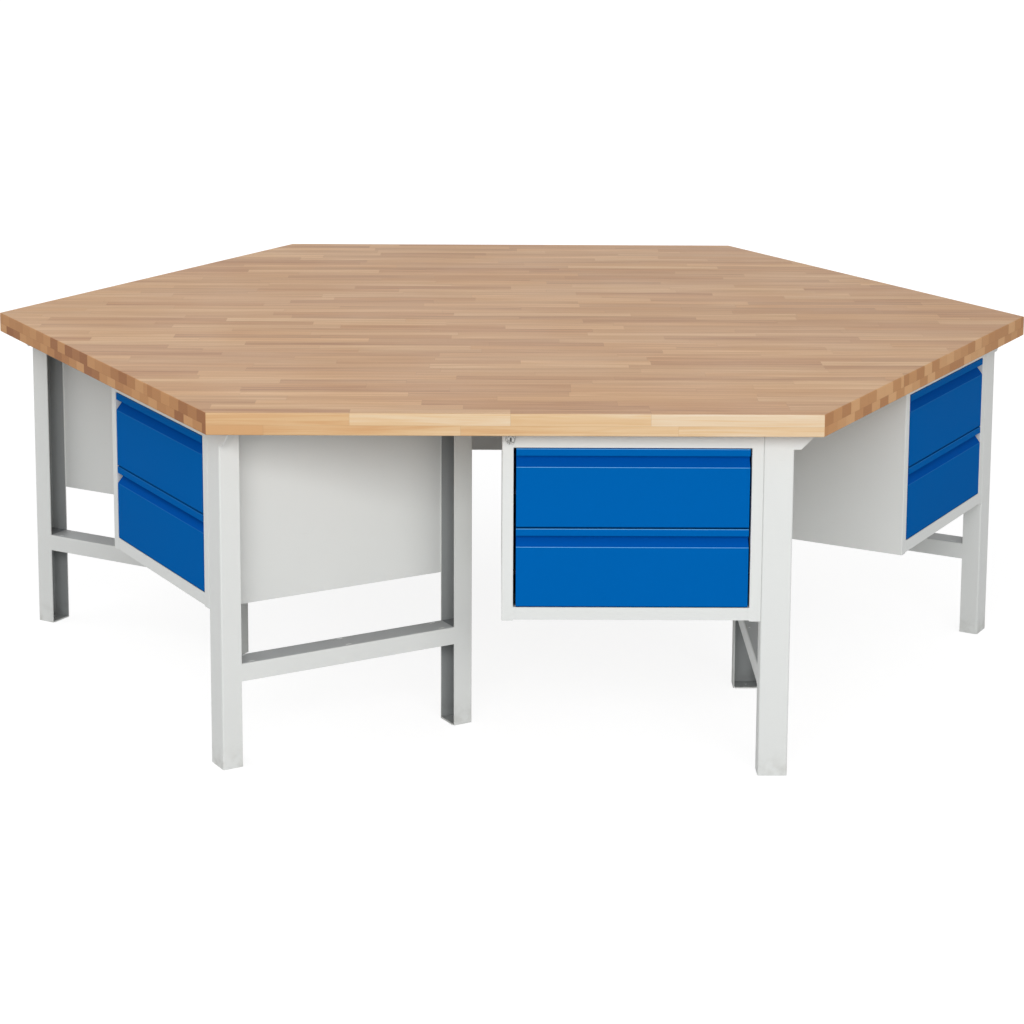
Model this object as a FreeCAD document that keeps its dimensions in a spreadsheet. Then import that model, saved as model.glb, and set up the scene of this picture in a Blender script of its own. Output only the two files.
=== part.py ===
import FreeCAD, Part
import math
import os
import types

import Sketcher

# A six-place group workbench: one regular hexagonal beech top on six steel foot frames,
# with a two-drawer cabinet hung beside every frame. All six sides are alike, so each piece
# is drawn for the front side and turned about the middle of the bench.
# +X runs along the front side, +Y from the front side to the back side, +Z up.
# The origin is on the floor under the middle of the top.

STATIONS = 6
DRAWERS = ("lower", "upper")

SIZES = {
    # Worktop
    "side_length": 1340,
    "bench_height": 840,
    "top_thickness": 50,
    "top_arris": 3,
    "pilot_radius": 2.5,
    "pilot_depth": 32,
    # Foot frame
    "leg_setback": 56,
    "leg_corner_gap": 58,
    "leg_width": 66,
    "leg_depth": 48,
    "leg_sheet": 3,
    "leg_bend": 4,
    "leg_inner_bend": 1.5,
    "frame_depth": 640,
    "ear_step": 15,
    "ear_rise": 41,
    "ear_tab": 40,
    # Rails between the legs
    "low_rail_height": 200,
    "low_rail_drop": 41,
    "top_rail_drop": 15,
    "rail_sheet": 3,
    "rail_bend": 4,
    "rail_clearance": 0.3,
    "slot_length": 14,
    "slot_width": 4,
    "slot_inset": 8,
    "slot_end_gap": 22,
    # Foot plates
    "foot_thickness": 3,
    "foot_lip": 2.5,
    "foot_hole_radius": 4.5,
    "foot_hole_inset": 26,
    # Cabinet casing
    "cabinet_width": 574,
    "cabinet_height": 432,
    "cabinet_back_gap": 20,
    "casing_sheet": 1.5,
    "casing_bend": 2,
    "left_stile": 25,
    "right_stile": 26,
    "head_rail": 39,
    "sill_rail": 31,
    "sill_recess": 2.5,
    "opening_return": 18,
    "seam_width": 0.8,
    "seam_depth": 0.5,
    "seam_inset": 4,
    # Drawer fronts
    "front_left_gap": 6,
    "front_right_gap": 4,
    "front_gap": 3,
    "front_sheet": 1.2,
    "front_depth": 16,
    "lip_drop": 16,
    "grip_top": 25,
    "grip_bottom": 42,
    "grip_depth": 14,
    "front_bend": 1,
    # Drawer boxes and runners
    "box_side_gap": 12,
    "box_lift": 10,
    "box_height": 125,
    "box_back_gap": 62.5,
    "box_sheet": 1.2,
    "box_hem": 3,
    "slide_width": 8,
    "slide_thickness": 6,
    "slide_lift": 60,
    "runner_sheet": 1.5,
    "runner_clearance": 0.3,
    "runner_side_gap": 1,
    "runner_front_gap": 4,
    "runner_back_gap": 38.5,
    # Locks
    "lock_inset": 18.5,
    "lock_drop": 20,
    "lock_face_radius": 11.5,
    "lock_face_thickness": 2.5,
    "lock_body_radius": 9,
    "lock_body_length": 26,
    "lock_clearance": 0.3,
    "key_width": 1.6,
    "key_length": 7,
    "key_depth": 2,
    "cam_length": 24,
    "cam_width": 11,
    "cam_thickness": 2.5,
    # Screws
    "screw_radius": 2.5,
    "screw_head_radius": 5.5,
    "screw_head_thickness": 3,
    "screw_bite": 28,
    "screw_hole_radius": 3,
    "screw_inset": 40,
    "overrun": 2,
}

doc = FreeCAD.newDocument("hexagonal_workbench")
sheet = doc.addObject("Spreadsheet::Sheet", "Sizes")
for row, (alias, number) in enumerate(SIZES.items(), start=1):
    sheet.set("A%d" % row, alias)
    sheet.set("B%d" % row, str(number))
    sheet.setAlias("B%d" % row, alias)
doc.recompute()


class Length:
    """A length that carries its value and the formula that binds it to the sheet."""

    def __init__(self, value, formula):
        self.value = value
        self.formula = formula

    def __add__(self, other):
        return Length(self.value + other.value, "(%s + %s)" % (self.formula, other.formula))

    def __sub__(self, other):
        return Length(self.value - other.value, "(%s - %s)" % (self.formula, other.formula))

    def __mul__(self, share):
        return Length(self.value * share, "(%s * %.12g)" % (self.formula, share))

    def __neg__(self):
        return self * -1


ZERO = Length(0, "0")
size = types.SimpleNamespace(
    **{alias: Length(number, "Sizes." + alias) for alias, number in SIZES.items()}
)

# Places that several pieces share, for the front side of the bench
APOTHEM_SHARE = math.sqrt(3) / 2
half_side = size.side_length * 0.5
apothem = size.side_length * APOTHEM_SHARE
underside = size.bench_height - size.top_thickness
face = size.leg_setback - apothem

leg_right = half_side - size.leg_corner_gap
leg_left = leg_right - size.leg_width
leg_middle = leg_right - size.leg_width * 0.5
frame_back = face + size.frame_depth
outer_flange_end = face + size.leg_depth
inner_flange_end = frame_back - size.leg_depth
ear_reach = size.ear_step + size.ear_rise

cabinet_right = leg_left
cabinet_left = cabinet_right - size.cabinet_width
cabinet_bottom = underside - size.cabinet_height
cabinet_back = frame_back - size.cabinet_back_gap
cabinet_depth = cabinet_back - face
inner_left = cabinet_left + size.casing_sheet
inner_right = cabinet_right - size.casing_sheet
inner_back = cabinet_back - size.casing_sheet

opening_left = cabinet_left + size.left_stile
opening_right = cabinet_right - size.right_stile
opening_top = underside - size.head_rail
opening_bottom = cabinet_bottom + size.sill_rail
front_height = (opening_top - opening_bottom) * 0.5 - size.front_gap
front_left = opening_left + size.front_left_gap
front_right = opening_right - size.front_right_gap
front_bottom = {
    "lower": opening_bottom + size.front_gap * 0.5,
    "upper": opening_bottom + front_height + size.front_gap * 1.5,
}

box_left = opening_left + size.box_side_gap
box_right = opening_right - size.box_side_gap
box_front = face + size.front_depth
box_back = inner_back - size.box_back_gap
runner_front = box_front + size.runner_front_gap
runner_back = inner_back - size.runner_back_gap

lock_x = cabinet_left + size.lock_inset
lock_z = underside - size.lock_drop

rail_screw = (leg_middle, inner_flange_end - size.screw_inset)
ear_screw = (leg_right + ear_reach * 0.5, face + size.ear_tab * 0.5)


def datum(body, role):
    """The plane or axis of a body's own origin."""
    return next(item for item in body.Origin.OriginFeatures if item.Role == role)


def new_body(label, station=0):
    """An empty piece, turned from the front side to the side it belongs to."""
    body = doc.addObject("PartDesign::Body", label)
    body.Label = label
    turn = FreeCAD.Rotation(FreeCAD.Vector(0, 0, 1), 360 / STATIONS * station)
    body.Placement = FreeCAD.Placement(FreeCAD.Vector(0, 0, 0), turn)
    return body


def new_sketch(body, role, level):
    """A sketch parallel to an origin plane, with the level measured along +X, +Y or +Z."""
    sketch = body.newObject("Sketcher::SketchObject", body.Label + "_sketch")
    sketch.AttachmentSupport = [(datum(body, role), "")]
    sketch.MapMode = "FlatFace"
    offset = -level if role == "XZ_Plane" else level
    sketch.setExpression("AttachmentOffset.Base.z", offset.formula)
    return sketch


def bind(sketch, kinds):
    """Add constraints, each held to the formula of its length."""
    indices = sketch.addConstraint([constraint for constraint, _ in kinds])
    for index, (_, length) in zip(indices, kinds):
        if length is not None:
            sketch.setExpression("Constraints[%d]" % index, length.formula)


def pinned(geometry, vertex, place):
    """The two constraints that hold a point at its distances from the sketch origin."""
    names = ("DistanceX", "DistanceY")
    return [
        (Sketcher.Constraint(name, -1, 1, geometry, vertex, float(length.value)), length)
        for name, length in zip(names, place)
    ]


def add_outline(sketch, corners):
    """A closed outline of straight lines through the corners."""
    first = sketch.GeometryCount
    count = len(corners)
    points = [FreeCAD.Vector(x.value, y.value, 0) for x, y in corners]
    sketch.addGeometry([Part.LineSegment(points[i], points[(i + 1) % count]) for i in range(count)])
    kinds = []
    for i in range(count):
        following = first + (i + 1) % count
        kinds.append((Sketcher.Constraint("Coincident", first + i, 2, following, 1), None))
    for i in range(count):
        kinds += pinned(first + i, 1, corners[i])
    bind(sketch, kinds)


def add_rectangle(sketch, left, right, bottom, top):
    add_outline(sketch, [(left, bottom), (right, bottom), (right, top), (left, top)])


def add_circle(sketch, centre, radius):
    middle = FreeCAD.Vector(centre[0].value, centre[1].value, 0)
    index = sketch.addGeometry(Part.Circle(middle, FreeCAD.Vector(0, 0, 1), radius.value))
    kinds = pinned(index, 3, centre)
    kinds.append((Sketcher.Constraint("Radius", index, float(radius.value)), radius))
    bind(sketch, kinds)


def add_feature(body, kind, sketch, length, backwards):
    feature = body.newObject("PartDesign::" + kind, body.Label + "_" + kind.lower())
    feature.Profile = sketch
    feature.setExpression("Length", length.formula)
    feature.Reversed = backwards
    return feature


def pad(body, sketch, length):
    """Raise a sketch towards +X, +Y or +Z."""
    return add_feature(body, "Pad", sketch, length, is_upright(sketch))


def cut(body, sketch, length):
    """Cut a sketch away towards +X, +Y or +Z, and make sure that something came off."""
    doc.recompute()
    before = body.Shape.Volume
    pocket = add_feature(body, "Pocket", sketch, length, not is_upright(sketch))
    doc.recompute()
    if not body.Shape.Volume < before:
        raise RuntimeError(pocket.Label + " cuts nothing")
    return pocket


def is_upright(sketch):
    """True on the XZ plane, whose normal points towards the front."""
    return sketch.AttachmentSupport[0][0].Role == "XZ_Plane"


def fillet(body, radius, chosen):
    """Round the edges of the body that the test chooses."""
    doc.recompute()
    base = body.Tip
    names = ["Edge%d" % (i + 1) for i, edge in enumerate(base.Shape.Edges) if chosen(edge)]
    if not names:
        raise RuntimeError(body.Label + " has no edge to round")
    feature = body.newObject("PartDesign::Fillet", body.Label + "_fillet")
    feature.Base = (base, names)
    feature.setExpression("Radius", radius.formula)
    body.Tip = feature
    return feature


def repeat_around(body, features):
    """Repeat features on all six sides."""
    pattern = body.newObject("PartDesign::PolarPattern", body.Label + "_pattern")
    pattern.Originals = features
    pattern.Axis = (datum(body, "Z_Axis"), [""])
    pattern.Angle = 360
    pattern.Occurrences = STATIONS
    body.Tip = pattern
    return pattern


NEAR = 1e-4


def runs_along(edge, axis):
    """True for a straight edge parallel to the axis, 0 for X, 1 for Y and 2 for Z."""
    if len(edge.Vertexes) != 2 or not isinstance(edge.Curve, (Part.Line, Part.LineSegment)):
        return False
    step = edge.Vertexes[1].Point - edge.Vertexes[0].Point
    return all(abs(step[i]) < NEAR for i in range(3) if i != axis)


def passes(edge, **places):
    """True where the middle of the edge lies at every given length."""
    middle = edge.CenterOfMass
    return all(abs(getattr(middle, name) - length.value) < NEAR for name, length in places.items())


def make_worktop():
    """The glued beech top, with pilot holes for the screws that come up from below."""
    body = new_body("worktop")
    sketch = new_sketch(body, "XY_Plane", underside)
    corners = [
        (-half_side, -apothem),
        (half_side, -apothem),
        (size.side_length, ZERO),
        (half_side, apothem),
        (-half_side, apothem),
        (-size.side_length, ZERO),
    ]
    add_outline(sketch, corners)
    pad(body, sketch, size.top_thickness)
    fillet(body, size.top_arris, lambda edge: True)
    holes = new_sketch(body, "XY_Plane", underside)
    for place in (rail_screw, ear_screw):
        add_circle(holes, place, size.pilot_radius)
    pocket = cut(body, holes, size.pilot_depth)
    repeat_around(body, [pocket])


def channel(web, depth):
    """The U section of a leg, its web at one depth and its flanges reaching towards the rail."""
    inward = 1 if depth.value > 0 else -1
    wall = size.leg_sheet * inward
    return [
        (leg_left, web),
        (leg_right, web),
        (leg_right, web + depth),
        (leg_right - size.leg_sheet, web + depth),
        (leg_right - size.leg_sheet, web + wall),
        (leg_left + size.leg_sheet, web + wall),
        (leg_left + size.leg_sheet, web + depth),
        (leg_left, web + depth),
    ]


def make_leg(label, station, web, depth):
    """A folded sheet-steel leg, open towards the other leg of its frame."""
    body = new_body(label, station)
    sketch = new_sketch(body, "XY_Plane", ZERO)
    add_outline(sketch, channel(web, depth))
    pad(body, sketch, underside)
    outer_corners = [(leg_left, web), (leg_right, web)]
    fillet(body, size.leg_bend, lambda edge: runs_along(edge, 2) and any(
        passes(edge, x=x, y=y) for x, y in outer_corners))
    inner_web = web + size.leg_sheet * (1 if depth.value > 0 else -1)
    inner_corners = [
        (leg_left + size.leg_sheet, inner_web),
        (leg_right - size.leg_sheet, inner_web),
    ]
    fillet(body, size.leg_inner_bend, lambda edge: runs_along(edge, 2) and any(
        passes(edge, x=x, y=y) for x, y in inner_corners))
    return body


def add_ear(body):
    """The plate beside the head of an outer leg, folded back under the worktop."""
    plate = new_sketch(body, "XZ_Plane", face)
    add_outline(plate, [
        (leg_right - size.leg_bend, underside - size.ear_rise),
        (leg_right + size.ear_step, underside - size.ear_rise),
        (leg_right + ear_reach, underside),
        (leg_right - size.leg_bend, underside),
    ])
    pad(body, plate, size.leg_sheet)
    tab = new_sketch(body, "XY_Plane", underside - size.leg_sheet)
    add_rectangle(tab, leg_right, leg_right + ear_reach - size.leg_sheet, face, face + size.ear_tab)
    pad(body, tab, size.leg_sheet)
    hole = new_sketch(body, "XY_Plane", underside - size.leg_sheet)
    add_circle(hole, ear_screw, size.screw_hole_radius)
    cut(body, hole, size.leg_sheet)


def make_legs(station):
    number = station + 1
    add_ear(make_leg("outer_leg_%d" % number, station, face, size.leg_depth))
    make_leg("inner_leg_%d" % number, station, frame_back, -size.leg_depth)


def add_rail(body, top, drop, features):
    """A folded rail, open below, whose top plate runs on between the flanges of both legs."""
    section = new_sketch(body, "XZ_Plane", outer_flange_end)
    bottom = top - drop
    under = top - size.rail_sheet
    add_outline(section, [
        (leg_left, bottom),
        (leg_left, top),
        (leg_right, top),
        (leg_right, bottom),
        (leg_right - size.rail_sheet, bottom),
        (leg_right - size.rail_sheet, under),
        (leg_left + size.rail_sheet, under),
        (leg_left + size.rail_sheet, bottom),
    ])
    features.append(pad(body, section, inner_flange_end - outer_flange_end))
    tongue = new_sketch(body, "XY_Plane", under)
    side = size.leg_sheet + size.leg_inner_bend + size.rail_clearance
    start = face + size.leg_sheet
    end = frame_back - size.leg_sheet
    add_rectangle(tongue, leg_left + side, leg_right - side, start, end)
    features.append(pad(body, tongue, size.rail_sheet))


def make_lower_rail(station):
    """The rail near the floor, with pairs of slots at its ends and its middle."""
    body = new_body("lower_rail_%d" % (station + 1), station)
    top = size.low_rail_height + size.low_rail_drop
    add_rail(body, top, size.low_rail_drop, [])
    fillet(body, size.rail_bend, lambda edge: runs_along(edge, 1) and (
        passes(edge, x=leg_left, z=top) or passes(edge, x=leg_right, z=top)))
    slots = new_sketch(body, "XY_Plane", top - size.rail_sheet)
    half = size.slot_length * 0.5
    starts = [
        outer_flange_end + size.slot_end_gap,
        (outer_flange_end + inner_flange_end) * 0.5 - half,
        inner_flange_end - size.slot_end_gap - size.slot_length,
    ]
    lefts = [
        leg_left + size.slot_inset,
        leg_right - size.slot_inset - size.slot_width,
    ]
    for start in starts:
        for left in lefts:
            add_rectangle(slots, left, left + size.slot_width, start, start + size.slot_length)
    cut(body, slots, size.rail_sheet)


def make_top_rails():
    """The rail of each frame that the worktop is screwed to."""
    body = new_body("top_rails")
    features = []
    add_rail(body, underside, size.top_rail_drop, features)
    holes = new_sketch(body, "XY_Plane", underside - size.rail_sheet)
    add_circle(holes, rail_screw, size.screw_hole_radius)
    features.append(cut(body, holes, size.rail_sheet))
    repeat_around(body, features)


def make_foot_plates():
    """A plate in the foot of every leg, with a hole for a floor anchor."""
    body = new_body("foot_plates")
    outline = new_sketch(body, "XY_Plane", ZERO)
    side = size.leg_sheet + size.leg_inner_bend
    left = leg_left + side
    right = leg_right - side
    back = size.leg_depth + size.foot_lip
    web = size.leg_sheet
    plates = [
        (face + web, face + back, face + size.foot_hole_inset),
        (frame_back - back, frame_back - web, frame_back - size.foot_hole_inset),
    ]
    for start, end, line in plates:
        add_rectangle(outline, left, right, start, end)
        add_circle(outline, (leg_middle, line), size.foot_hole_radius)
    repeat_around(body, [pad(body, outline, size.foot_thickness)])


def make_casing(station):
    """The sheet-steel cabinet casing, hung under the worktop beside a foot frame."""
    body = new_body("casing_%d" % (station + 1), station)
    sheet_gauge = size.casing_sheet
    block = new_sketch(body, "XZ_Plane", face)
    add_rectangle(block, cabinet_left, cabinet_right, cabinet_bottom, underside)
    pad(body, block, cabinet_depth)
    room = new_sketch(body, "XZ_Plane", face + sheet_gauge)
    floor = cabinet_bottom + sheet_gauge + size.sill_recess
    add_rectangle(room, inner_left, inner_right, floor, underside - sheet_gauge)
    cut(body, room, cabinet_depth - sheet_gauge * 2)
    opening = new_sketch(body, "XZ_Plane", face)
    add_rectangle(opening, opening_left, opening_right, opening_bottom, opening_top)
    cut(body, opening, sheet_gauge)
    recess = new_sketch(body, "XZ_Plane", face)
    recess_top = cabinet_bottom + size.sill_recess
    add_rectangle(recess, opening_left, opening_right, cabinet_bottom, recess_top)
    cut(body, recess, cabinet_depth - sheet_gauge)
    rim = new_sketch(body, "XZ_Plane", face + sheet_gauge)
    add_rectangle(rim, opening_left, opening_right, opening_bottom, opening_top)
    add_rectangle(rim, opening_left - sheet_gauge, opening_right + sheet_gauge,
                  opening_bottom - sheet_gauge, opening_top + sheet_gauge)
    pad(body, rim, size.opening_return - sheet_gauge)
    fillet(body, size.casing_bend, lambda edge: any(
        runs_along(edge, axis) and passes(edge, y=face, **{name: place}) for axis, name, place in (
            (2, "x", opening_left), (2, "x", opening_right),
            (0, "z", opening_bottom), (0, "z", opening_top))))
    add_seams(body)
    lock = new_sketch(body, "XZ_Plane", face)
    add_circle(lock, (lock_x, lock_z), size.lock_body_radius + size.lock_clearance)
    cut(body, lock, size.casing_sheet)
    fillet(body, size.casing_bend, lambda edge: runs_along(edge, 2) and (
        passes(edge, x=cabinet_left, y=face) or passes(edge, x=cabinet_right, y=face)))


def add_seams(body):
    """The hairline joints where the head and sill rails meet the stiles."""
    seams = new_sketch(body, "XZ_Plane", face)
    lines = (opening_left + size.seam_inset, opening_right - size.seam_inset)
    levels = (
        (cabinet_bottom + size.sill_recess - size.overrun, opening_bottom + size.overrun),
        (opening_top - size.overrun, underside + size.overrun),
    )
    for line in lines:
        for bottom, top in levels:
            add_rectangle(seams, line, line + size.seam_width, bottom, top)
    cut(body, seams, size.seam_depth)


BEND_SHARE = 0.36


def make_drawer_front(label, station, bottom):
    """A folded front: a lip at the top, a finger recess under it and a plain face below."""
    body = new_body(label, station)
    top = bottom + front_height
    wall = size.front_sheet
    back = face + size.front_depth
    deep = face + size.grip_depth
    face_top = top - size.grip_bottom
    slope_top = top - size.grip_top
    bend = wall * BEND_SHARE
    profile = new_sketch(body, "YZ_Plane", front_left)
    add_outline(profile, [
        (back, bottom),
        (face, bottom),
        (face, face_top),
        (deep, slope_top),
        (deep, top - wall),
        (face + wall, top - wall),
        (face + wall, top - size.lip_drop),
        (face, top - size.lip_drop),
        (face, top),
        (back, top),
        (back, top - wall),
        (deep + wall, top - wall),
        (deep + wall, slope_top - bend),
        (face + wall, face_top - bend),
        (face + wall, bottom + wall),
        (back, bottom + wall),
    ])
    pad(body, profile, front_right - front_left)
    for start in (front_left, front_right - wall):
        end = new_sketch(body, "YZ_Plane", start)
        add_rectangle(end, face, back, bottom, face_top)
        pad(body, end, wall)
    fillet(body, size.front_bend, lambda edge: runs_along(edge, 0) and (
        passes(edge, y=face, z=top) or passes(edge, y=face, z=face_top)))


def make_drawer_box(label, station, bottom):
    """A tray of folded sheet behind the front, with a slide rail folded out of each side."""
    body = new_body(label, station)
    wall = size.box_sheet
    low = bottom + size.box_lift
    outside = new_sketch(body, "XY_Plane", low)
    add_rectangle(outside, box_left, box_right, box_front, box_back)
    pad(body, outside, size.box_height)
    rim = new_sketch(body, "XY_Plane", low + size.box_height - size.box_hem)
    add_rectangle(rim, box_left - size.box_hem, box_right + size.box_hem, box_front, box_back)
    pad(body, rim, size.box_hem)
    slides = new_sketch(body, "XY_Plane", low + size.slide_lift)
    add_rectangle(slides, box_left - size.slide_width, box_left, box_front, box_back)
    add_rectangle(slides, box_right, box_right + size.slide_width, box_front, box_back)
    pad(body, slides, size.slide_thickness)
    inside = new_sketch(body, "XY_Plane", low + wall)
    add_rectangle(inside, box_left + wall, box_right - wall, box_front + wall, box_back - wall)
    cut(body, inside, size.box_height)


def make_runners():
    """The channels on the casing's sides that carry the slide rails of the drawers."""
    body = new_body("runners")
    section = new_sketch(body, "XZ_Plane", runner_front)
    gauge = size.runner_sheet
    for name in DRAWERS:
        low = front_bottom[name] + size.box_lift + size.slide_lift - size.runner_clearance
        high = low + size.slide_thickness + size.runner_clearance * 2
        for wall, lip, inward in (
            (inner_left, box_left - size.runner_side_gap, 1),
            (inner_right, box_right + size.runner_side_gap, -1),
        ):
            web = wall + gauge * inward
            add_outline(section, [
                (wall, low - gauge),
                (lip, low - gauge),
                (lip, low),
                (web, low),
                (web, high),
                (lip, high),
                (lip, high + gauge),
                (wall, high + gauge),
            ])
    repeat_around(body, [pad(body, section, runner_back - runner_front)])


def make_lock(station):
    """The turning core of the cabinet lock, with its key slot and its cam."""
    body = new_body("lock_%d" % (station + 1), station)
    centre = (lock_x, lock_z)
    seat = face - size.lock_clearance
    front = new_sketch(body, "XZ_Plane", seat - size.lock_face_thickness)
    add_circle(front, centre, size.lock_face_radius)
    pad(body, front, size.lock_face_thickness)
    core = new_sketch(body, "XZ_Plane", seat)
    add_circle(core, centre, size.lock_body_radius)
    pad(body, core, size.lock_body_length)
    cam = new_sketch(body, "XZ_Plane", seat + size.lock_body_length)
    half = size.cam_width * 0.5
    add_rectangle(cam, lock_x - half, lock_x + size.cam_length, lock_z - half, lock_z + half)
    pad(body, cam, size.cam_thickness)
    slot = new_sketch(body, "XZ_Plane", seat - size.lock_face_thickness)
    half_width = size.key_width * 0.5
    half_length = size.key_length * 0.5
    add_rectangle(slot, lock_x - half_width, lock_x + half_width,
                  lock_z - half_length, lock_z + half_length)
    cut(body, slot, size.key_depth)


def hexagon(centre, radius):
    """The corners of a hexagon with the given radius across its corners."""
    x, y = centre
    half = radius * 0.5
    rise = radius * APOTHEM_SHARE
    return [
        (x + radius, y),
        (x + half, y + rise),
        (x - half, y + rise),
        (x - radius, y),
        (x - half, y - rise),
        (x + half, y - rise),
    ]


def make_worktop_screws():
    """Hexagon-head screws up into the worktop, their heads under the sheet that they hold."""
    body = new_body("worktop_screws")
    features = []
    for place, gauge in ((rail_screw, size.rail_sheet), (ear_screw, size.leg_sheet)):
        seat = underside - gauge
        head = new_sketch(body, "XY_Plane", seat - size.screw_head_thickness)
        add_outline(head, hexagon(place, size.screw_head_radius))
        features.append(pad(body, head, size.screw_head_thickness))
        shank = new_sketch(body, "XY_Plane", seat)
        add_circle(shank, place, size.screw_radius)
        features.append(pad(body, shank, gauge + size.screw_bite))
    repeat_around(body, features)


make_worktop()
make_top_rails()
make_foot_plates()
make_runners()
make_worktop_screws()
for station in range(STATIONS):
    make_legs(station)
    make_lower_rail(station)
    make_casing(station)
    make_lock(station)
    for drawer in DRAWERS:
        name = "%s_%d" % (drawer, station + 1)
        make_drawer_front("drawer_front_" + name, station, front_bottom[drawer])
        make_drawer_box("drawer_box_" + name, station, front_bottom[drawer])
doc.recompute()

for item in doc.Objects:
    if "Invalid" in item.State or "Error" in item.State:
        raise RuntimeError(item.Label + " failed")

bodies = [item for item in doc.Objects if item.isDerivedFrom("PartDesign::Body")]
os.makedirs("parts", exist_ok=True)
for body in bodies:
    if body.Shape.isNull() or not body.Shape.isValid():
        raise RuntimeError(body.Label + " has no valid shape")
for body in bodies:
    body.Shape.exportStep("parts/%s.step" % body.Label)
    print(body.Label, len(body.Shape.Solids), "solids")
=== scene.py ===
import math

import bmesh
import bpy
from mathutils import Matrix, Vector


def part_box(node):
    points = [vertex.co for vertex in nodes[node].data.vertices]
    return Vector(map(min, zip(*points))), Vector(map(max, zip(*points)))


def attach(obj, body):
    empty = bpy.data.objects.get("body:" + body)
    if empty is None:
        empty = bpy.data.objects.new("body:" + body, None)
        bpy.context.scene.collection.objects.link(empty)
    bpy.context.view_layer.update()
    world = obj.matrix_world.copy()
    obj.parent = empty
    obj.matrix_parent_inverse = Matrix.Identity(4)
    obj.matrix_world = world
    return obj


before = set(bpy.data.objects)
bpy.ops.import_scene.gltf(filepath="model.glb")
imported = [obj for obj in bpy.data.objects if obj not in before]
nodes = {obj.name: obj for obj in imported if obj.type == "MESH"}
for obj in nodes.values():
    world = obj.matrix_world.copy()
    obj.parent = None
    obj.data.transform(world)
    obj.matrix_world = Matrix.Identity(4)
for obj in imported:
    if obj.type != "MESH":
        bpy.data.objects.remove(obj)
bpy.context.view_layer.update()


# Foot frames
# Six frames of folded sheet steel, each a pair of U-section legs with a rail under the top,
# a slotted rail near the floor and a plate in every foot. They are welded, then powder
# coated light grey as a whole.
def srgb(red, green, blue):
    """A colour given as it shows on a screen, as the linear one that shaders take."""
    shares = [value / 255 for value in (red, green, blue)]
    linear = [s / 12.92 if s <= 0.04045 else ((s + 0.055) / 1.055) ** 2.4 for s in shares]
    return (*linear, 1.0)


def put(tree, kind, inputs=None, **settings):
    """A shader node with its settings, and with values or links on its inputs."""
    made = tree.nodes.new(kind)
    for name, value in settings.items():
        setattr(made, name, value)
    for name, value in (inputs or {}).items():
        if isinstance(value, bpy.types.NodeSocket):
            tree.links.new(value, made.inputs[name])
        else:
            made.inputs[name].default_value = value
    return made


def calc(tree, operation, *values, clamp=False):
    """One step of arithmetic, or the same step along a row of more than two values."""
    while len(values) > 2:
        values = (calc(tree, operation, *values[:2]), *values[2:])
    made = put(tree, "ShaderNodeMath", dict(enumerate(values)), operation=operation)
    made.use_clamp = clamp
    return made.outputs[0]


def ramp(tree, factor, low, high, start=0.0, end=1.0):
    """A smooth step from start to end as the factor goes from low to high."""
    return put(tree, "ShaderNodeMapRange", {
        "Value": factor, "From Min": low, "From Max": high, "To Min": start, "To Max": end,
    }, interpolation_type="SMOOTHSTEP").outputs["Result"]


def fall(tree, factor, low, high, start=1.0):
    """A smooth step from start to nothing as the factor goes from low to high."""
    return ramp(tree, factor, low, high, start, 0.0)


def within(tree, value, low, high, fade):
    """One between two places, and nothing further out than the fade."""
    return calc(tree, "MULTIPLY", ramp(tree, value, low - fade, low),
                fall(tree, value, high, high + fade))


def sway(tree, value, depth):
    """How far a noise strays from its middle, times a depth."""
    return calc(tree, "MULTIPLY", calc(tree, "SUBTRACT", value, 0.5), depth)


def noise(tree, vector, scale, detail, roughness=0.5, distortion=0.0):
    """Soft random values, on one scale or on one for each axis."""
    if isinstance(scale, tuple):
        vector = put(tree, "ShaderNodeMapping", {"Vector": vector, "Scale": scale}).outputs[0]
        scale = 1.0
    return put(tree, "ShaderNodeTexNoise", {
        "Vector": vector, "Scale": scale, "Detail": detail, "Roughness": roughness,
        "Distortion": distortion,
    }).outputs["Fac"]


def tint(tree, blend_type, factor, first, second):
    """Two colours mixed in one of the usual ways."""
    # A Mix node has its colours on inputs 6 and 7 and on output 2
    return put(tree, "ShaderNodeMix", {0: factor, 6: first, 7: second},
               data_type="RGBA", blend_type=blend_type).outputs[2]


def object_place(tree):
    """Where a point of the surface lies on the object, in metres."""
    return tree.nodes.new("ShaderNodeTexCoord").outputs["Object"]


def true_normal(tree):
    """The way that a facet of the surface faces."""
    return tree.nodes.new("ShaderNodeNewGeometry").outputs["True Normal"]


def parts(tree, vector):
    """The X, Y and Z of a vector."""
    return put(tree, "ShaderNodeSeparateXYZ", {"Vector": vector}).outputs


def new_group(name, inputs, outputs):
    """An empty effect, with what comes in and what goes out as seen from inside it."""
    tree = bpy.data.node_groups.new(name, "ShaderNodeTree")
    for label, value in inputs.items():
        tree.interface.new_socket(
            label, in_out="INPUT", socket_type="NodeSocketFloat").default_value = value
    for label in outputs:
        tree.interface.new_socket(label, in_out="OUTPUT", socket_type="NodeSocketFloat")
    return (tree, tree.nodes.new("NodeGroupInput").outputs,
            tree.nodes.new("NodeGroupOutput").inputs)


def new_material(name):
    """An empty material with its main shader."""
    material = bpy.data.materials.new(name)
    material.use_nodes = True
    tree = material.node_tree
    tree.nodes.clear()
    shader = tree.nodes.new("ShaderNodeBsdfPrincipled")
    output = tree.nodes.new("ShaderNodeOutputMaterial")
    tree.links.new(shader.outputs["BSDF"], output.inputs["Surface"])
    return material, tree, shader


def add_bump(tree, shader, height, depth):
    """Relief of the given depth in metres."""
    made = put(tree, "ShaderNodeBump", {"Height": height, "Distance": depth})
    tree.links.new(made.outputs["Normal"], shader.inputs["Normal"])


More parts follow.
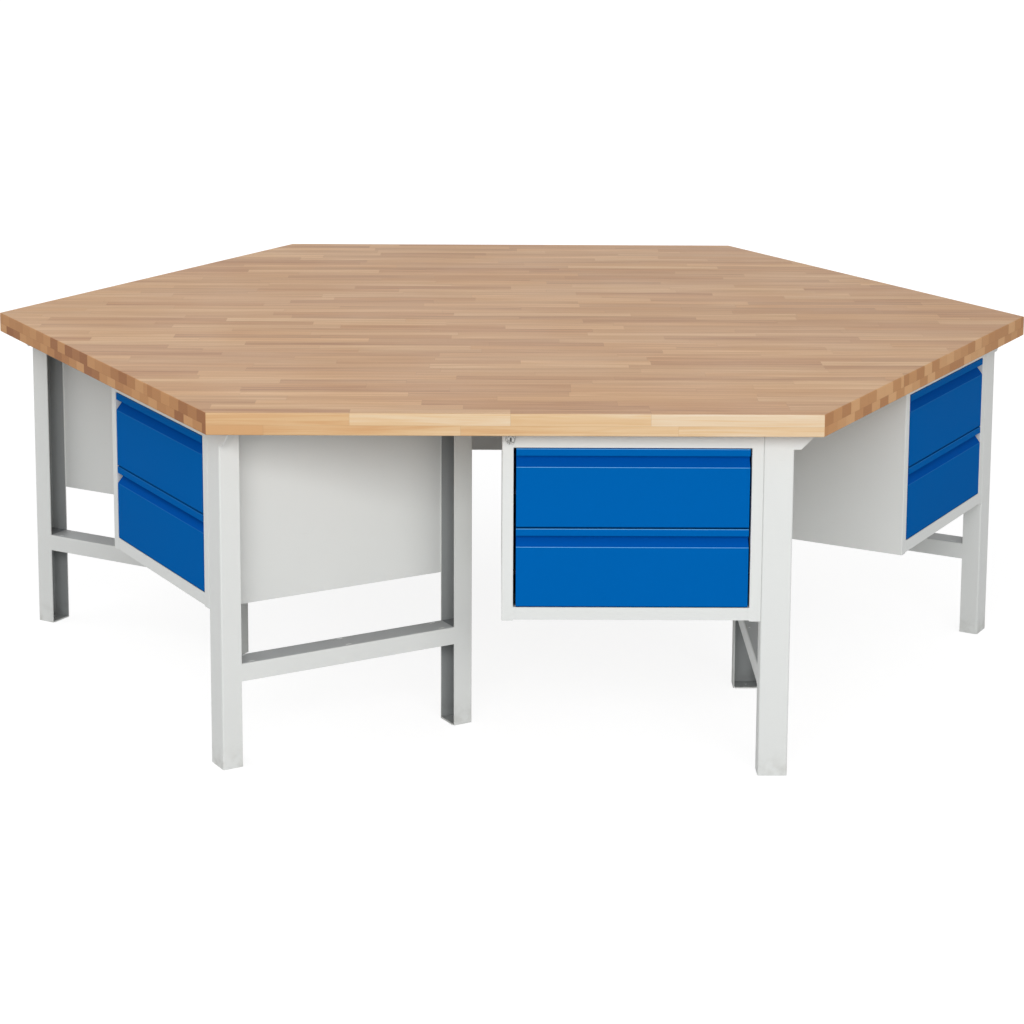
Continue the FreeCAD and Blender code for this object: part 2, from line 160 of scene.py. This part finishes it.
SPECK_SCALE, SPECK_DEPTH = 2600.0, 0.03
CLOUD_ROUGHNESS = 0.16
powder, given, result = new_group(
    "baked powder skin", {"Grain Size": 0.0016, "Cloud Size": 0.25, "Cloud Depth": 0.03},
    ["Tone", "Roughness Shift", "Height"])
place = object_place(powder)
grain_scale, cloud_scale = (
    calc(powder, "DIVIDE", 1.0, given[size]) for size in ("Grain Size", "Cloud Size"))
peel = noise(powder, place, grain_scale, detail=1.5, roughness=0.45)
cloud = noise(powder, place, cloud_scale, detail=3.0, roughness=0.55)
clouded = calc(powder, "MULTIPLY", sway(powder, cloud, 2.0), given["Cloud Depth"])
specks = sway(powder, noise(powder, place, SPECK_SCALE, detail=0.0), SPECK_DEPTH)
powder.links.new(calc(powder, "ADD", clouded, specks, 1.0), result["Tone"])
powder.links.new(sway(powder, cloud, CLOUD_ROUGHNESS), result["Roughness Shift"])
powder.links.new(peel, result["Height"])

DUST_PATCHES = (0.35, 0.7)
SCUFF_STREAKS = (0.62, 0.78)
SCUFF_SHARE = 0.25
handled, given, result = new_group(
    "dust and scuffs", {"Floor Height": 0.07, "Amount": 0.25}, ["Mask"])
place = object_place(handled)
low = fall(handled, parts(handled, place)["Z"], 0.0, given["Floor Height"])
patches = ramp(handled, noise(handled, place, scale=38.0, detail=4.0), *DUST_PATCHES)
streaks = noise(handled, place, scale=(27.0, 27.0, 165.0), detail=5.0, roughness=0.6)
scuffs = ramp(handled, streaks, *SCUFF_STREAKS, 0.0, SCUFF_SHARE)
dirt = calc(handled, "ADD", calc(handled, "MULTIPLY", low, patches), scuffs)
handled.links.new(calc(handled, "MULTIPLY", dirt, given["Amount"], clamp=True), result["Mask"])

DUST_ROUGHNESS = 0.4


def powder_coat(name, colour, dust, skin_values, dust_values, roughness, gloss, peel_depth):
    """Baked powder coat: a fine orange peel, faint clouds in the gloss and a little floor dust.

    Its colour isn't linked yet, because each piece has marks of its own to add."""
    material, tree, shader = new_material(name)
    skin = put(tree, "ShaderNodeGroup", skin_values, node_tree=powder).outputs
    worn = put(tree, "ShaderNodeGroup", dust_values, node_tree=handled).outputs["Mask"]
    tone = put(tree, "ShaderNodeCombineColor", {
        channel: skin["Tone"] for channel in ("Red", "Green", "Blue")}).outputs[0]
    coated = tint(tree, "MIX", worn, tint(tree, "MULTIPLY", 1.0, colour, tone), dust)
    rough = calc(tree, "ADD", skin["Roughness Shift"], roughness,
                 calc(tree, "MULTIPLY", worn, DUST_ROUGHNESS), clamp=True)
    tree.links.new(rough, shader.inputs["Roughness"])
    shader.inputs["Specular IOR Level"].default_value = gloss
    add_bump(tree, shader, skin["Height"], peel_depth)
    return material, tree, shader, coated


grey_coat, tree, shader, coated = powder_coat(
    "light grey powder coat", srgb(226, 228, 226), dust=srgb(150, 146, 136),
    skin_values={"Grain Size": 0.0016, "Cloud Size": 0.25, "Cloud Depth": 0.03},
    dust_values={"Floor Height": 0.07, "Amount": 0.25},
    roughness=0.45, gloss=0.15, peel_depth=0.00004)

# Painted shade: the coat is darkened inside the folded legs, where shade falls. Each leg is found
# by how far out and how far sideways it stands, as seen from the middle of its side
SIDES = range(1, 7)
SIDE_TURN = math.radians(60.0)
LEG_REACHES = ((0.467, 0.5125), (1.0565, 1.1016))
LEG_OFFSETS = (0.549, 0.609)
SHADE_FADE = 0.0005
place = object_place(tree)
inside = 0.0
for number in SIDES:
    turn = SIDE_TURN * (number - 1)
    outward = (math.sin(turn), -math.cos(turn), 0.0)
    sideways = (math.cos(turn), math.sin(turn), 0.0)
    reach, offset = (
        put(tree, "ShaderNodeVectorMath", {0: place, 1: direction},
            operation="DOT_PRODUCT").outputs["Value"] for direction in (outward, sideways))
    deep = calc(tree, "MAXIMUM", *(
        within(tree, reach, *reaches, SHADE_FADE) for reaches in LEG_REACHES))
    leg = calc(tree, "MULTIPLY", deep, within(tree, offset, *LEG_OFFSETS, SHADE_FADE))
    inside = calc(tree, "MAXIMUM", inside, leg)
# Inside the legs the colour is darkened: painted shade
coated = tint(tree, "MULTIPLY", inside, coated, srgb(180, 182, 184))

# Painted shade: the tops of the lower rails, which lie in shade under the bench, are darkened
FACING_UP = (0.8, 0.95)
SHADED_BAND_HALF = 0.001
rail_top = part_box("lower_rail_1")[1][2]
painted_rail_shade = calc(
    tree, "MULTIPLY", ramp(tree, parts(tree, true_normal(tree))["Z"], *FACING_UP),
    within(tree, parts(tree, place)["Z"], rail_top - SHADED_BAND_HALF, rail_top + SHADED_BAND_HALF, SHADE_FADE))
tree.links.new(tint(tree, "MULTIPLY", painted_rail_shade, coated, srgb(208, 210, 214)),
               shader.inputs["Base Color"])

SHARP_FOLD = math.radians(40.0)


def soften(mesh):
    """Shade bends smoothly and keep folds sharp."""
    mesh.shade_smooth()
    mesh.set_sharp_from_angle(angle=SHARP_FOLD)


def finish(node, material, bends=True):
    """Give a CAD node its real finish, and smooth shading where it has bends."""
    piece = nodes[node]
    if not piece.material_slots:
        piece.data.materials.append(material)
    for slot in piece.material_slots:
        slot.material = material
    if bends:
        soften(piece.data)


finish("top_rails", grey_coat, bends=False)
finish("foot_plates", grey_coat, bends=False)
for number in SIDES:
    for piece in ("outer_leg", "inner_leg", "lower_rail"):
        finish("%s_%d" % (piece, number), grey_coat)

# Cabinet casings
# Each cabinet is a welded casing of 1.5 mm sheet hung under the top, in the same light grey
# powder coat as the frames. Its front edges and the rim of its opening are folded.
for number in SIDES:
    finish("casing_%d" % number, grey_coat)

# Drawer runners and drawer boxes
# The runners and the drawer boxes behind the fronts are folded from zinc-plated sheet, dull
# bright, with the faint scatter of crystals that such a coat has, and painted shade at the front.
DRAWERS = ("lower", "upper")


def distance(tree, value, place):
    """How far a value is from a place, either way."""
    return calc(tree, "ABSOLUTE", calc(tree, "SUBTRACT", value, place))


def hexagon_reach(tree, vector):
    """How far a vector reaches out from the middle, square to the nearest side of the bench."""
    flat = parts(tree, vector)
    slants = (
        calc(tree, "ADD", calc(tree, "MULTIPLY", flat["X"], math.sin(SIDE_TURN)),
             calc(tree, "MULTIPLY", flat["Y"], share))
        for share in (math.cos(SIDE_TURN), -math.cos(SIDE_TURN)))
    return calc(tree, "MAXIMUM", calc(tree, "ABSOLUTE", flat["Y"]),
                *(calc(tree, "ABSOLUTE", slant) for slant in slants))


FACING_OUT = (0.9, 0.95)
front_faces, given, result = new_group(
    "faces that look out of the bench", {"Reach": 1.1, "Half Width": 0.001, "Fade": 0.0005},
    ["Mask"])
off = distance(front_faces, hexagon_reach(front_faces, object_place(front_faces)), given["Reach"])
at_reach = fall(front_faces, off, given["Half Width"],
                calc(front_faces, "ADD", given["Half Width"], given["Fade"]))
looks_out = ramp(front_faces, hexagon_reach(front_faces, true_normal(front_faces)), *FACING_OUT)
front_faces.links.new(calc(front_faces, "MULTIPLY", looks_out, at_reach), result["Mask"])

ZINC_ROUGHNESS, CRYSTAL_ROUGHNESS, ROLLED_ROUGHNESS = 0.24, 0.05, 0.22
zinc, tree, shader = new_material("zinc-plated sheet")
place = object_place(tree)
crystals = put(tree, "ShaderNodeTexVoronoi", {"Vector": place, "Scale": 140.0, "Randomness": 1.0})
crystal = put(tree, "ShaderNodeSeparateColor", {"Color": crystals.outputs["Color"]}).outputs["Red"]
rolled = noise(tree, place, scale=(60.0, 60.0, 720.0), detail=3.0)
# Painted shade: the front ends, in the dark gap behind the drawer fronts, are painted near black
front_end_shade = put(tree, "ShaderNodeGroup", {"Reach": 1.11, "Half Width": 0.035, "Fade": 0.005},
               node_tree=front_faces).outputs["Mask"]
plated = tint(tree, "MIX", crystal, srgb(182, 185, 188), srgb(199, 202, 204))
tree.links.new(tint(tree, "MIX", front_end_shade, plated, srgb(44, 42, 40)), shader.inputs["Base Color"])
rough = calc(tree, "ADD", calc(tree, "MULTIPLY", crystal, CRYSTAL_ROUGHNESS),
             calc(tree, "MULTIPLY", rolled, ROLLED_ROUGHNESS), ZINC_ROUGHNESS)
tree.links.new(rough, shader.inputs["Roughness"])
shader.inputs["Metallic"].default_value = 1.0
add_bump(tree, shader, rolled, depth=0.00002)

finish("runners", zinc, bends=False)
for number in SIDES:
    for drawer in DRAWERS:
        finish("drawer_box_%s_%d" % (drawer, number), zinc, bends=False)

# Drawer fronts
# A front is one folded sheet, powder coated blue: a lip at the top, a finger recess with a
# sloping flap under it, and a plain face. It is screwed to the drawer box from inside.
FOLD_DROPS = (0.0009, 0.0422)
FOLD_LINE = (0.00027, 0.0009)
FOLD_HIGHLIGHT_SHARE, FOLD_GLOSS = 0.75, 0.2
FOLD_FACING = (-0.5, -0.2)
STRAIGHT_REACH = (1.06, 1.08)
SLANT_SHARE = 0.15
RECESS_DROPS = (0.0412, 0.0175)
RECESS_FADE = 0.001
EDGE_LINE = (0.0008, 0.0022)
EDGE_SHADE = 0.75
blue_coat, tree, shader, coated = powder_coat(
    "blue powder coat", srgb(0, 97, 176), dust=srgb(40, 84, 140),
    skin_values={"Grain Size": 0.0016, "Cloud Size": 0.25, "Cloud Depth": 0.03},
    dust_values={"Floor Height": 0.07, "Amount": 0.25},
    roughness=0.55, gloss=0.005, peel_depth=0.00003)
place = parts(tree, object_place(tree))
# Masks for painted shade in the recesses and along the bottom edges, and painted highlight on the
# folds
folds = recess = bottom_edge_shade = 0.0
for drawer in DRAWERS:
    low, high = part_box("drawer_front_%s_1" % drawer)
    bottom, top = low[2], high[2]
    deep = within(tree, place["Z"], *(top - drop for drop in RECESS_DROPS), RECESS_FADE)
    recess = calc(tree, "MAXIMUM", recess, deep)
    for drop in FOLD_DROPS:
        gap = distance(tree, place["Z"], top - drop)
        folds = calc(tree, "MAXIMUM", folds, fall(tree, gap, *FOLD_LINE))
    gap = distance(tree, place["Z"], bottom)
    bottom_edge_shade = calc(tree, "MAXIMUM", bottom_edge_shade, fall(tree, gap, *EDGE_LINE, EDGE_SHADE))

# Painted highlight: the folds are painted lighter on the front and back drawers, and hardly on the
# slanting sides; a clear coat on them adds real gloss
upward = parts(tree, tree.nodes.new("ShaderNodeNewGeometry").outputs["Normal"])["Z"]
straight = ramp(tree, calc(tree, "ABSOLUTE", place["Y"]), *STRAIGHT_REACH, SLANT_SHARE, 1.0)
folds = calc(tree, "MULTIPLY", folds, ramp(tree, upward, *FOLD_FACING), straight)
# Painted shade: the finger recess between the lip and the lower fold is darkened
coated = tint(tree, "MULTIPLY", recess, coated, srgb(160, 224, 250))
coated = tint(tree, "MIX", calc(tree, "MULTIPLY", folds, FOLD_HIGHLIGHT_SHARE), coated, srgb(112, 186, 240))
# Painted shade: a dark line along the bottom edge of each front
tree.links.new(tint(tree, "MIX", bottom_edge_shade, coated, srgb(0, 34, 74)), shader.inputs["Base Color"])
tree.links.new(calc(tree, "MULTIPLY", folds, FOLD_GLOSS), shader.inputs["Coat Weight"])
shader.inputs["Coat Roughness"].default_value = 0.18
shader.inputs["Coat IOR"].default_value = 1.5
for number in SIDES:
    for drawer in DRAWERS:
        finish("drawer_front_%s_%d" % (drawer, number), blue_coat)

# Cabinet locks
# A nickel-plated cam lock at the top left of each cabinet. The turned face has a bezel, a
# groove and a plug with the keyway, and the whole core turns with the key.
KEYWAY_DEPTH = 0.002
NICKEL_ROUGHNESS = (0.2, 0.38)
NOISE_MIDDLE = (0.3, 0.7)
lock_low, lock_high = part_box("lock_1")
nickel, tree, shader = new_material("nickel plating")
haze = noise(tree, object_place(tree), scale=900.0, detail=4.0)
# Painted shade: the floor of the keyway, deep in its slot, is painted near black
keyway_shade = put(tree, "ShaderNodeGroup", {
    "Reach": -lock_low[1] - KEYWAY_DEPTH, "Half Width": 0.0005, "Fade": 0.0005,
}, node_tree=front_faces).outputs["Mask"]
plated = tint(tree, "MIX", haze, srgb(150, 148, 146), srgb(196, 194, 190))
tree.links.new(tint(tree, "MIX", keyway_shade, plated, srgb(24, 24, 24)),
               shader.inputs["Base Color"])
tree.links.new(ramp(tree, haze, *NOISE_MIDDLE, *NICKEL_ROUGHNESS), shader.inputs["Roughness"])
shader.inputs["Metallic"].default_value = 1.0
add_bump(tree, shader, haze, depth=0.00001)
for number in SIDES:
    finish("lock_%d" % number, nickel)


def flat_length(tree, across, up):
    """The length of a vector given by its two parts."""
    flat = put(tree, "ShaderNodeCombineXYZ", {"X": across, "Y": up}).outputs[0]
    return put(tree, "ShaderNodeVectorMath", {0: flat}, operation="LENGTH").outputs["Value"]


TURNING_PITCH = 0.0003
SHADE_BESIDE, SHADE_ALONG = (0.0014, 0.0026), (0.0044, 0.0056)
GROOVE_RADIUS = 0.0086
GROOVE_LINE = (0.0003, 0.0008)
GROOVE_SHADE = 0.6
TURNED_ROUGHNESS = (0.24, 0.42)
turned, tree, shader = new_material("turned nickel")
place = parts(tree, object_place(tree))
from_axis = flat_length(tree, place["X"], place["Y"])
turning = calc(tree, "SINE", calc(tree, "MULTIPLY", from_axis, 2.0 * math.pi / TURNING_PITCH))
smudge = noise(tree, object_place(tree), scale=260.0, detail=3.0)
bright = tint(tree, "MIX", ramp(tree, smudge, *NOISE_MIDDLE),
              srgb(138, 137, 134), srgb(190, 189, 185))
# Painted shade: the face is painted dark about the keyway and in the groove
by_keyway = calc(tree, "MULTIPLY", *(
    fall(tree, calc(tree, "ABSOLUTE", place[axis]), *line)
    for axis, line in (("X", SHADE_BESIDE), ("Y", SHADE_ALONG))))
in_groove = fall(tree, distance(tree, from_axis, GROOVE_RADIUS), *GROOVE_LINE, GROOVE_SHADE)
keyway_and_groove_shade = calc(tree, "MAXIMUM", by_keyway, in_groove)
tree.links.new(tint(tree, "MIX", keyway_and_groove_shade, bright, srgb(44, 44, 44)), shader.inputs["Base Color"])
tree.links.new(ramp(tree, smudge, *NOISE_MIDDLE, *TURNED_ROUGHNESS), shader.inputs["Roughness"])
shader.inputs["Anisotropic"].default_value = 0.7
shader.inputs["Metallic"].default_value = 1.0
add_bump(tree, shader, turning, depth=0.000006)

# The face is turned in rings of a radius and a height. Rims about the keyway follow, each
# wider than the keyway by a margin and at a height
FACE_RADIUS = 0.0115
RINGS = [(0.01148, 0.0), (0.01145, 0.00035), (0.0111, 0.0007), (0.0093, 0.0007),
         (0.0089, 0.0004), (0.0088, 0.00006), (0.0082, 0.00006), (0.0081, 0.0004),
         (0.0078, 0.00055)]
KEYWAY_HALF = (0.0010, 0.0040)
KEYWAY_RIMS = [(0.0022, 0.00055), (0.0006, 0.0005), (0.0002, 0.0003), (0.00005, 0.00003)]
ROUND_STEPS = 72
SMALLEST = 1e-6


def rim_reach(margin, turn):
    """How far a rim about the keyway lies from the middle, in one direction."""
    return min((half + margin) / max(abs(share), SMALLEST)
               for half, share in zip(KEYWAY_HALF, (math.cos(turn), math.sin(turn))))


turns = [2.0 * math.pi * step / ROUND_STEPS for step in range(ROUND_STEPS)]
rows = [[(radius, lift) for turn in turns] for radius, lift in RINGS]
rows += [[(rim_reach(margin, turn), lift) for turn in turns] for margin, lift in KEYWAY_RIMS]
drawn = bmesh.new()
loops = [[drawn.verts.new((radius * math.cos(turn), radius * math.sin(turn), lift))
          for turn, (radius, lift) in zip(turns, row)] for row in rows]
for outer, inner in zip(loops, loops[1:]):
    for step in range(ROUND_STEPS):
        after = (step + 1) % ROUND_STEPS
        drawn.faces.new((outer[step], outer[after], inner[after], inner[step]))
face_mesh = bpy.data.meshes.new("lock_face")
drawn.to_mesh(face_mesh)
drawn.free()
soften(face_mesh)
face_mesh.materials.append(turned)

lock_middle = (lock_low[0] + FACE_RADIUS, lock_low[1], 0.5 * (lock_low[2] + lock_high[2]))
for number in SIDES:
    lock_face = bpy.data.objects.new("lock_face_%d" % number, face_mesh)
    lock_face.matrix_world = (
        Matrix.Rotation(SIDE_TURN * (number - 1), 4, "Z")
        @ Matrix.Translation(lock_middle)
        @ Matrix.Rotation(math.radians(90.0), 4, "X")
    )
    bpy.context.scene.collection.objects.link(lock_face)
    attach(lock_face, "lock_%d" % number)

# Worktop
# Beech staves about 44 mm wide, butt-jointed end to end and glued up in two layers, then
# sanded and oiled. The grain runs along the front side, so the slanting sides show the sawn
# ends of the staves, and the front and back sides show long grain.
STAVE_WIDTH = 0.044
STAVE_LENGTH = 0.42
STAVE_SPREAD = 0.9
LAYER_SPLIT = 0.813
LAYER_SHIFT = 0.45
ROW_START, LAYER_START = 7.317, 419.3
OWN_PLACE = (31.0, 17.0, 23.0)
beech, tree, shader = new_material("oiled beech staves")
place = object_place(tree)
spot = parts(tree, place)
along, across, up = spot["X"], spot["Y"], spot["Z"]

# Each stave draws its own tone, hue and place in the grain
layer = calc(tree, "GREATER_THAN", up, LAYER_SPLIT)
rows = calc(tree, "ADD", calc(tree, "DIVIDE", across, STAVE_WIDTH),
            calc(tree, "MULTIPLY", layer, LAYER_SHIFT))
row = calc(tree, "FLOOR", rows)
in_row = calc(tree, "SUBTRACT", rows, row)
run = calc(tree, "ADD", calc(tree, "DIVIDE", along, STAVE_LENGTH),
           calc(tree, "ADD", calc(tree, "MULTIPLY", row, ROW_START),
                calc(tree, "MULTIPLY", layer, LAYER_START)))
stave, stave_edge = (
    put(tree, "ShaderNodeTexVoronoi", {"W": run, "Scale": 1.0, "Randomness": STAVE_SPREAD},
        voronoi_dimensions="1D", feature=feature).outputs
    for feature in ("F1", "DISTANCE_TO_EDGE"))
draw = put(tree, "ShaderNodeTexWhiteNoise", {
    "Vector": put(tree, "ShaderNodeCombineXYZ", {
        "X": stave["W"], "Y": row, "Z": layer}).outputs[0],
}, noise_dimensions="3D").outputs["Color"]
chance = put(tree, "ShaderNodeSeparateColor", {"Color": draw}).outputs
tone, hue, shift = chance["Red"], chance["Green"], chance["Blue"]
own = put(tree, "ShaderNodeVectorMath", {0: draw, 1: OWN_PLACE, 2: place},
          operation="MULTIPLY_ADD").outputs[0]

# Long grain: fine lines and broad bands along each stave, different in every stave
LINE_DEPTH, BAND_DEPTH = 0.3, 1.35
lines = noise(tree, own, scale=(5.0, 420.0, 420.0), detail=3.0, roughness=0.6)
bands = noise(tree, own, scale=(2.6, 75.0, 75.0), detail=4.0, roughness=0.6, distortion=0.5)
flecks = noise(tree, own, scale=(240.0, 2400.0, 2400.0), detail=1.0)
grain = calc(tree, "ADD", sway(tree, lines, LINE_DEPTH), sway(tree, bands, BAND_DEPTH))

# Stave ends: growth rings about a pith that lies outside each stave
PITH_SPREAD = 0.13
PITH_DEEP, PITH_DEEPER = 0.03, 0.07
RING_RATE, RING_WOBBLE = 2600.0, 3.0
ring_side = calc(tree, "SUBTRACT", calc(tree, "MULTIPLY", in_row, STAVE_WIDTH),
                 sway(tree, hue, PITH_SPREAD))
ring_up = calc(tree, "ADD", calc(tree, "SUBTRACT", up, LAYER_SPLIT),
               calc(tree, "ADD", calc(tree, "MULTIPLY", shift, PITH_DEEPER), PITH_DEEP))
wobble = calc(tree, "MULTIPLY", noise(tree, own, scale=90.0, detail=2.0), RING_WOBBLE)
growth = calc(tree, "MULTIPLY", flat_length(tree, ring_side, ring_up), RING_RATE)
rings = calc(tree, "SINE", calc(tree, "ADD", growth, wobble))
pores = noise(tree, own, scale=1300.0, detail=1.0)

LONG_TONES = [(0.0, srgb(168, 121, 85)), (0.3, srgb(191, 147, 108)), (0.65, srgb(207, 166, 124)),
              (1.0, srgb(228, 193, 152))]
END_TONES = [(0.0, srgb(154, 102, 66)), (0.3, srgb(182, 129, 84)), (0.75, srgb(198, 146, 98)),
             (1.0, srgb(216, 168, 120))]
EDGE_TONES = [(0.0, srgb(207, 161, 114)), (0.3, srgb(216, 180, 136)), (0.55, srgb(222, 191, 151)),
              (0.85, srgb(226, 204, 175)), (1.0, srgb(228, 210, 187))]


def tones(tree, factor, stops):
    """A colour read off a row of stops."""
    made = put(tree, "ShaderNodeValToRGB", {"Fac": factor})
    stop_list = made.color_ramp.elements
    while len(stop_list) < len(stops):
        stop_list.new(0.5)
    for stop, (position, colour) in zip(stop_list, stops):
        stop.position, stop.color = position, colour
    return made.outputs["Color"]


# The colour of the long grain, warmer in some staves than in others and finely flecked
LONG_TONE_SHARE, LONG_TONE_START = 0.48, 0.24
WARM_SHARE = 0.55
FLECK_LEVEL, FLECK_SHARE = (0.62, 0.74), 0.35
long_factor = calc(tree, "ADD", calc(tree, "MULTIPLY", tone, LONG_TONE_SHARE),
                   calc(tree, "ADD", grain, LONG_TONE_START), clamp=True)
warm = tint(tree, "MULTIPLY", calc(tree, "MULTIPLY", hue, WARM_SHARE),
            tones(tree, long_factor, LONG_TONES), srgb(255, 243, 228))
flecked = tint(tree, "MULTIPLY", ramp(tree, flecks, *FLECK_LEVEL, 0.0, FLECK_SHARE),
               warm, srgb(176, 138, 110))

# The front and back edges are pale sapwood, paler in the upper layer; towards the right they are
# painted lighter, as where more light falls
EDGE_LIT_FROM, EDGE_LIT_SHARE = (-0.7, 0.75), 0.5
PALE_LAYER, PALE_GRAIN = 0.3, 1.2
PALE_TONE_MIDDLE, PALE_TONE_SHARE = 0.4, 0.34
pale_stave = calc(tree, "MULTIPLY", calc(tree, "SUBTRACT", tone, PALE_TONE_MIDDLE),
                  PALE_TONE_SHARE)
pale = calc(tree, "ADD", calc(tree, "MULTIPLY", layer, PALE_LAYER),
            ramp(tree, along, *EDGE_LIT_FROM, 0.0, EDGE_LIT_SHARE), pale_stave,
            calc(tree, "MULTIPLY", grain, PALE_GRAIN), clamp=True)

# The colour of the sawn ends, painted lighter at the right corner, as where more light falls
END_TONE_SHARE, RING_DEPTH, PORE_DEPTH = 0.85, 0.045, 0.25
END_LIT_FROM, END_LIT_SHARE = (0.6, 0.9), 0.3
end_grain = calc(tree, "ADD", calc(tree, "MULTIPLY", rings, RING_DEPTH),
                 sway(tree, pores, PORE_DEPTH))
end_factor = calc(tree, "ADD", calc(tree, "MULTIPLY", tone, END_TONE_SHARE), end_grain,
                  ramp(tree, along, *END_LIT_FROM, 0.0, END_LIT_SHARE), clamp=True)

FACING_ASIDE, FACING_AHEAD = (0.3, 0.6), (0.3, 0.7)
facing = parts(tree, true_normal(tree))
aside, ahead = (calc(tree, "ABSOLUTE", facing[axis]) for axis in ("X", "Y"))
sawn_end = ramp(tree, aside, *FACING_ASIDE)
long_edge = ramp(tree, calc(tree, "MULTIPLY", ahead, calc(tree, "SUBTRACT", 1.0, aside)),
                 *FACING_AHEAD)
wood = tint(tree, "MIX", long_edge, flecked, tones(tree, pale, EDGE_TONES))
wood = tint(tree, "MIX", sawn_end, wood, tones(tree, end_factor, END_TONES))

# Glue lines between the staves, their butt joints and the line between the two layers
JOINT_WIDTH = 0.0005
JOINT_SHARE = 0.35
to_next_row = calc(tree, "SUBTRACT", 1.0, in_row)
to_side = calc(tree, "MULTIPLY", calc(tree, "MINIMUM", in_row, to_next_row), STAVE_WIDTH)
to_end = calc(tree, "MULTIPLY", stave_edge["Distance"], STAVE_LENGTH)
to_layer = distance(tree, up, LAYER_SPLIT)
joints = calc(tree, "MAXIMUM", *(
    fall(tree, gap, 0.0, JOINT_WIDTH) for gap in (to_side, to_end, to_layer)))
jointed = tint(tree, "MULTIPLY", calc(tree, "MULTIPLY", joints, JOINT_SHARE),
               wood, srgb(150, 108, 76))
tree.links.new(jointed, shader.inputs["Base Color"])

# Oil leaves it rougher at the sawn ends and in the grain
OIL_ROUGHNESS = (0.48, 0.54)
END_ROUGHNESS, LINE_ROUGHNESS = 0.12, 0.16
LINE_RELIEF = 0.35
patchy = noise(tree, place, scale=3.2, detail=2.0)
oiled = ramp(tree, patchy, *NOISE_MIDDLE, *OIL_ROUGHNESS)
rough = calc(tree, "ADD", oiled, calc(tree, "MULTIPLY", sawn_end, END_ROUGHNESS),
             sway(tree, lines, LINE_ROUGHNESS))
tree.links.new(rough, shader.inputs["Roughness"])
shader.inputs["Specular IOR Level"].default_value = 0.2
relief = calc(tree, "SUBTRACT", calc(tree, "MULTIPLY", lines, LINE_RELIEF), joints)
add_bump(tree, shader, relief, depth=0.00005)
finish("worktop", beech)
finish("worktop_screws", zinc, bends=False)

# Studio
# A pale floor that keeps a soft shadow, one broad lamp in front, a weaker one behind, one
# overhead and an even white surround.
bpy.context.scene.view_settings.view_transform = "Standard"


def seen_directly(tree):
    """One for what the camera sees, also in a gloss or through glass."""
    path = tree.nodes.new("ShaderNodeLightPath").outputs
    return calc(tree, "MAXIMUM", path["Is Camera Ray"], path["Is Glossy Ray"],
                path["Is Transmission Ray"])


FLOOR_HALF = 30.0
FLOOR_DROP = 0.0005
FLOOR_SHADOW = (0.22, 0.22, 0.22, 1.0)
GLOW_FROM, GLOW_STRENGTH = (2.0, 6.0), (0.88, 1.0)
WHITE = (1.0, 1.0, 1.0, 1.0)
drawn = bmesh.new()
bmesh.ops.create_grid(drawn, x_segments=4, y_segments=4, size=FLOOR_HALF)
floor_mesh = bpy.data.meshes.new("studio_floor")
drawn.to_mesh(floor_mesh)
drawn.free()
floor = bpy.data.objects.new("studio_floor", floor_mesh)
floor.location.z = -FLOOR_DROP
bpy.context.scene.collection.objects.link(floor)
floor_paint, tree, shader = new_material("studio floor")
shown = seen_directly(tree)
tree.links.new(tint(tree, "MIX", shown, srgb(220, 220, 220), FLOOR_SHADOW),
               shader.inputs["Base Color"])
away = put(tree, "ShaderNodeVectorMath", {0: object_place(tree)},
           operation="LENGTH").outputs["Value"]
glow = calc(tree, "MULTIPLY", shown, ramp(tree, away, *GLOW_FROM, *GLOW_STRENGTH))
tree.links.new(glow, shader.inputs["Emission Strength"])
shader.inputs["Emission Color"].default_value = WHITE
shader.inputs["Roughness"].default_value = 0.9
shader.inputs["Specular IOR Level"].default_value = 0.0
floor_mesh.materials.append(floor_paint)

SURROUND_LIGHT = 0.48
world = bpy.data.worlds.new("studio surround")
bpy.context.scene.world = world
world.use_nodes = True
tree = world.node_tree
tree.nodes.clear()
strength = calc(tree, "ADD", calc(tree, "MULTIPLY", seen_directly(tree), 1.0 - SURROUND_LIGHT),
                SURROUND_LIGHT)
background = put(tree, "ShaderNodeBackground", {"Color": WHITE, "Strength": strength})
output = tree.nodes.new("ShaderNodeOutputWorld")
tree.links.new(background.outputs[0], output.inputs["Surface"])


def add_lamp(name, place, target, width, height, power):
    """A soft rectangular lamp aimed at a point."""
    data = bpy.data.lights.new(name, "AREA")
    data.shape, data.size, data.size_y, data.energy = "RECTANGLE", width, height, power
    lamp = bpy.data.objects.new(name, data)
    lamp.location = place
    lamp.rotation_euler = (Vector(target) - Vector(place)).to_track_quat("-Z", "Y").to_euler()
    bpy.context.scene.collection.objects.link(lamp)


add_lamp("front_lamp", place=(0.5, -6.8, 3.4), target=(0.0, -0.5, 0.5),
         width=7.0, height=2.4, power=258.0)
add_lamp("rear_lamp", place=(0.0, 7.0, 4.4), target=(0.0, 0.5, 0.5),
         width=6.0, height=2.0, power=45.0)
add_lamp("overhead_lamp", place=(-3.6, -0.6, 4.2), target=(0.0, 0.0, 0.84),
         width=4.0, height=4.0, power=40.0)

CAMERA_PLACE = (-0.03996, -6.475, 2.0585)
CAMERA_PITCH, CAMERA_YAW, CAMERA_ROLL = 9.327, -0.333, 0.28
CAMERA_LENS, CAMERA_SENSOR = 88.53, 36.0
CAMERA_SHIFT = -0.25
camera_data = bpy.data.cameras.new("camera")
camera_data.sensor_width = CAMERA_SENSOR
camera_data.lens = CAMERA_LENS
camera_data.shift_y = CAMERA_SHIFT
camera = bpy.data.objects.new("camera", camera_data)
camera.matrix_world = (
    Matrix.Translation(CAMERA_PLACE)
    @ Matrix.Rotation(math.radians(CAMERA_YAW), 4, "Z")
    @ Matrix.Rotation(math.radians(90.0 - CAMERA_PITCH), 4, "X")
    @ Matrix.Rotation(math.radians(CAMERA_ROLL), 4, "Z")
)
bpy.context.scene.collection.objects.link(camera)
bpy.context.scene.camera = camera
